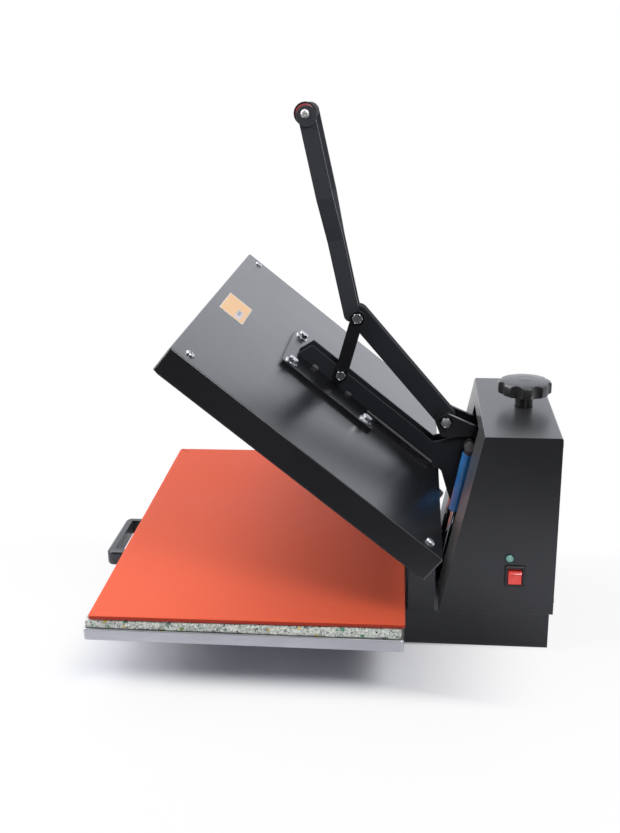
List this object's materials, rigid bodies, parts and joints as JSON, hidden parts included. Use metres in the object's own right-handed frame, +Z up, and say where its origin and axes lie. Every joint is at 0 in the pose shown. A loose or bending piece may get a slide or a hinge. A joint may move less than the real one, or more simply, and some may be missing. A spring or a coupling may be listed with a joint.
{
  "type": "clamshell heat press",
  "caption": "Clamshell heat press with a tilting heated platen on a toggle lever, a sliding padded lower plate, a pressure knob and a rear switch tower.",
  "frame": {"origin": "on the surface the press stands on, under the middle of its bounding box", "axes": "+Z up, -Y towards the operator, +X to the operator's right, the side with the power switch"},
  "size_m": [0.6, 0.6414, 0.7256],
  "materials": {
    "black_powder_coat": "satin powder coat, fine grained",
    "dark_steel": "satin black paint",
    "lower_plate_metal": "brushed",
    "heater_face": "dark non-stick coat",
    "blanket": "matt fibre",
    "foam": "speckled rebonded foam",
    "silicone": "matt silicone",
    "zinc": "zinc plated, bright",
    "chrome_rod": "polished",
    "spring_tube": "glossy",
    "knob_plastic": "fine grained moulding",
    "black_plastic": "semi-gloss moulding",
    "grip_rubber": "matt",
    "cap_red": "glossy",
    "rocker_red": "glossy, translucent",
    "lamp_green": "glossy, translucent",
    "foot_rubber": "matt"
  },
  "bodies": {
    "press_base": {"base_frame": "black_powder_coat", "base_bottom_plate": "black_powder_coat", "rubber_feet": "foot_rubber", "rear_riser": "black_powder_coat", "slide_rails": "zinc", "tower_plate_right": "dark_steel", "tower_plate_left": "dark_steel", "tower_flanges": "dark_steel", "tower_tie_plate": "dark_steel", "hinge_shaft": "zinc", "spring_feet": "dark_steel", "rear_cover": "black_powder_coat", "cover_screws": "zinc", "switch_housing": "black_plastic", "indicator_lamp": "lamp_green", "power_inlet": "black_plastic", "temperature_controller": "black_plastic"},
    "upper_platen": {"platen_housing": "black_powder_coat", "heating_plate": "heater_face", "insulation_blanket": "blanket", "corner_screws": "zinc", "bracket_plate": "dark_steel", "bracket_bolts": "zinc", "platen_arm": "dark_steel", "spring_studs": "zinc", "cable_gland": "zinc", "link_pivot_bolt": "zinc"},
    "pressure_yoke": {"hinge_yoke": "dark_steel", "lever_pivot_bolt": "zinc", "pivot_spacers": "zinc"},
    "lever": {"lever_arm": "dark_steel", "handle_bar_right": "dark_steel", "handle_bar_left": "dark_steel", "grip_sleeve": "grip_rubber", "grip_cap": "cap_red", "grip_bolt": "zinc", "elbow_bolt": "zinc"},
    "toggle_link": {"link_plate_right": "dark_steel", "link_plate_left": "dark_steel", "elbow_bolt_heads": "zinc"},
    "adjuster": {"pressure_knob": "knob_plastic", "pressure_screw": "zinc"},
    "spring_tubes": {"gas_spring_tube_right": "spring_tube", "gas_spring_tube_left": "spring_tube"},
    "spring_rods": {"gas_spring_rod_right": "chrome_rod", "gas_spring_rod_left": "chrome_rod"},
    "drawer": {"drawer_carriage": "dark_steel", "lower_plate": "lower_plate_metal", "foam_pad": "foam", "silicone_pad": "silicone", "pull_handle": "black_powder_coat", "handle_screws": "zinc"},
    "switch_rocker": {"power_rocker": "rocker_red"}
  },
  "joints": [
    {"name": "platen_hinge", "type": "hinge", "parent": "press_base", "child": "upper_platen", "pos_m": [0, 0.2163, 0.123], "axis": [1, 0, 0], "range_deg": [0, 39.24], "stiffness_Nm_per_rad": 20, "springref_deg": -171.89},
    {"name": "yoke_lift", "type": "slide", "parent": "press_base", "child": "pressure_yoke", "axis": [0, 0, 1], "range_m": [-0.003, 0.003]},
    {"name": "lever_pivot", "type": "hinge", "parent": "pressure_yoke", "child": "lever", "pos_m": [0, 0.1709, 0.292], "axis": [1, 0, 0], "range_deg": [0, 69.04]},
    {"name": "link_pivot", "type": "hinge", "parent": "upper_platen", "child": "toggle_link", "pos_m": [0, 0.02373, 0.35736], "axis": [1, 0, 0], "range_deg": [-80.18, 0]},
    {"name": "spring_tube_pivot", "type": "hinge", "parent": "upper_platen", "child": "spring_tubes", "pos_m": [0, 0.20429, 0.25895], "axis": [1, 0, 0], "range_deg": [-9.48, 0]},
    {"name": "spring_rod_pivot", "type": "hinge", "parent": "press_base", "child": "spring_rods", "pos_m": [0, 0.1683, 0.079], "axis": [1, 0, 0], "range_deg": [0, 29.78]},
    {"name": "pressure_knob_turn", "type": "hinge", "parent": "press_base", "child": "adjuster", "pos_m": [0, 0.2793, 0.309], "axis": [0, 0, 1], "range_deg": [-541, 541]},
    {"name": "drawer_slide", "type": "slide", "parent": "press_base", "child": "drawer", "axis": [0, -1, 0], "range_m": [0, 0.2]},
    {"name": "power_switch_rocker", "type": "hinge", "parent": "press_base", "child": "switch_rocker", "pos_m": [0.1295, 0.2649, 0.1114], "axis": [0, -1, 0], "range_deg": [0, 14]}
  ],
  "couplings": [
    {"joint": "lever_pivot", "follows": "platen_hinge", "ratio": 1.7592},
    {"joint": "link_pivot", "follows": "platen_hinge", "ratio": -2.043},
    {"joint": "spring_tube_pivot", "follows": "platen_hinge", "ratio": -0.24135},
    {"joint": "spring_rod_pivot", "follows": "platen_hinge", "ratio": 0.75865},
    {"joint": "pressure_knob_turn", "follows": "yoke_lift", "rad_per_m": 3141.6}
  ]
}
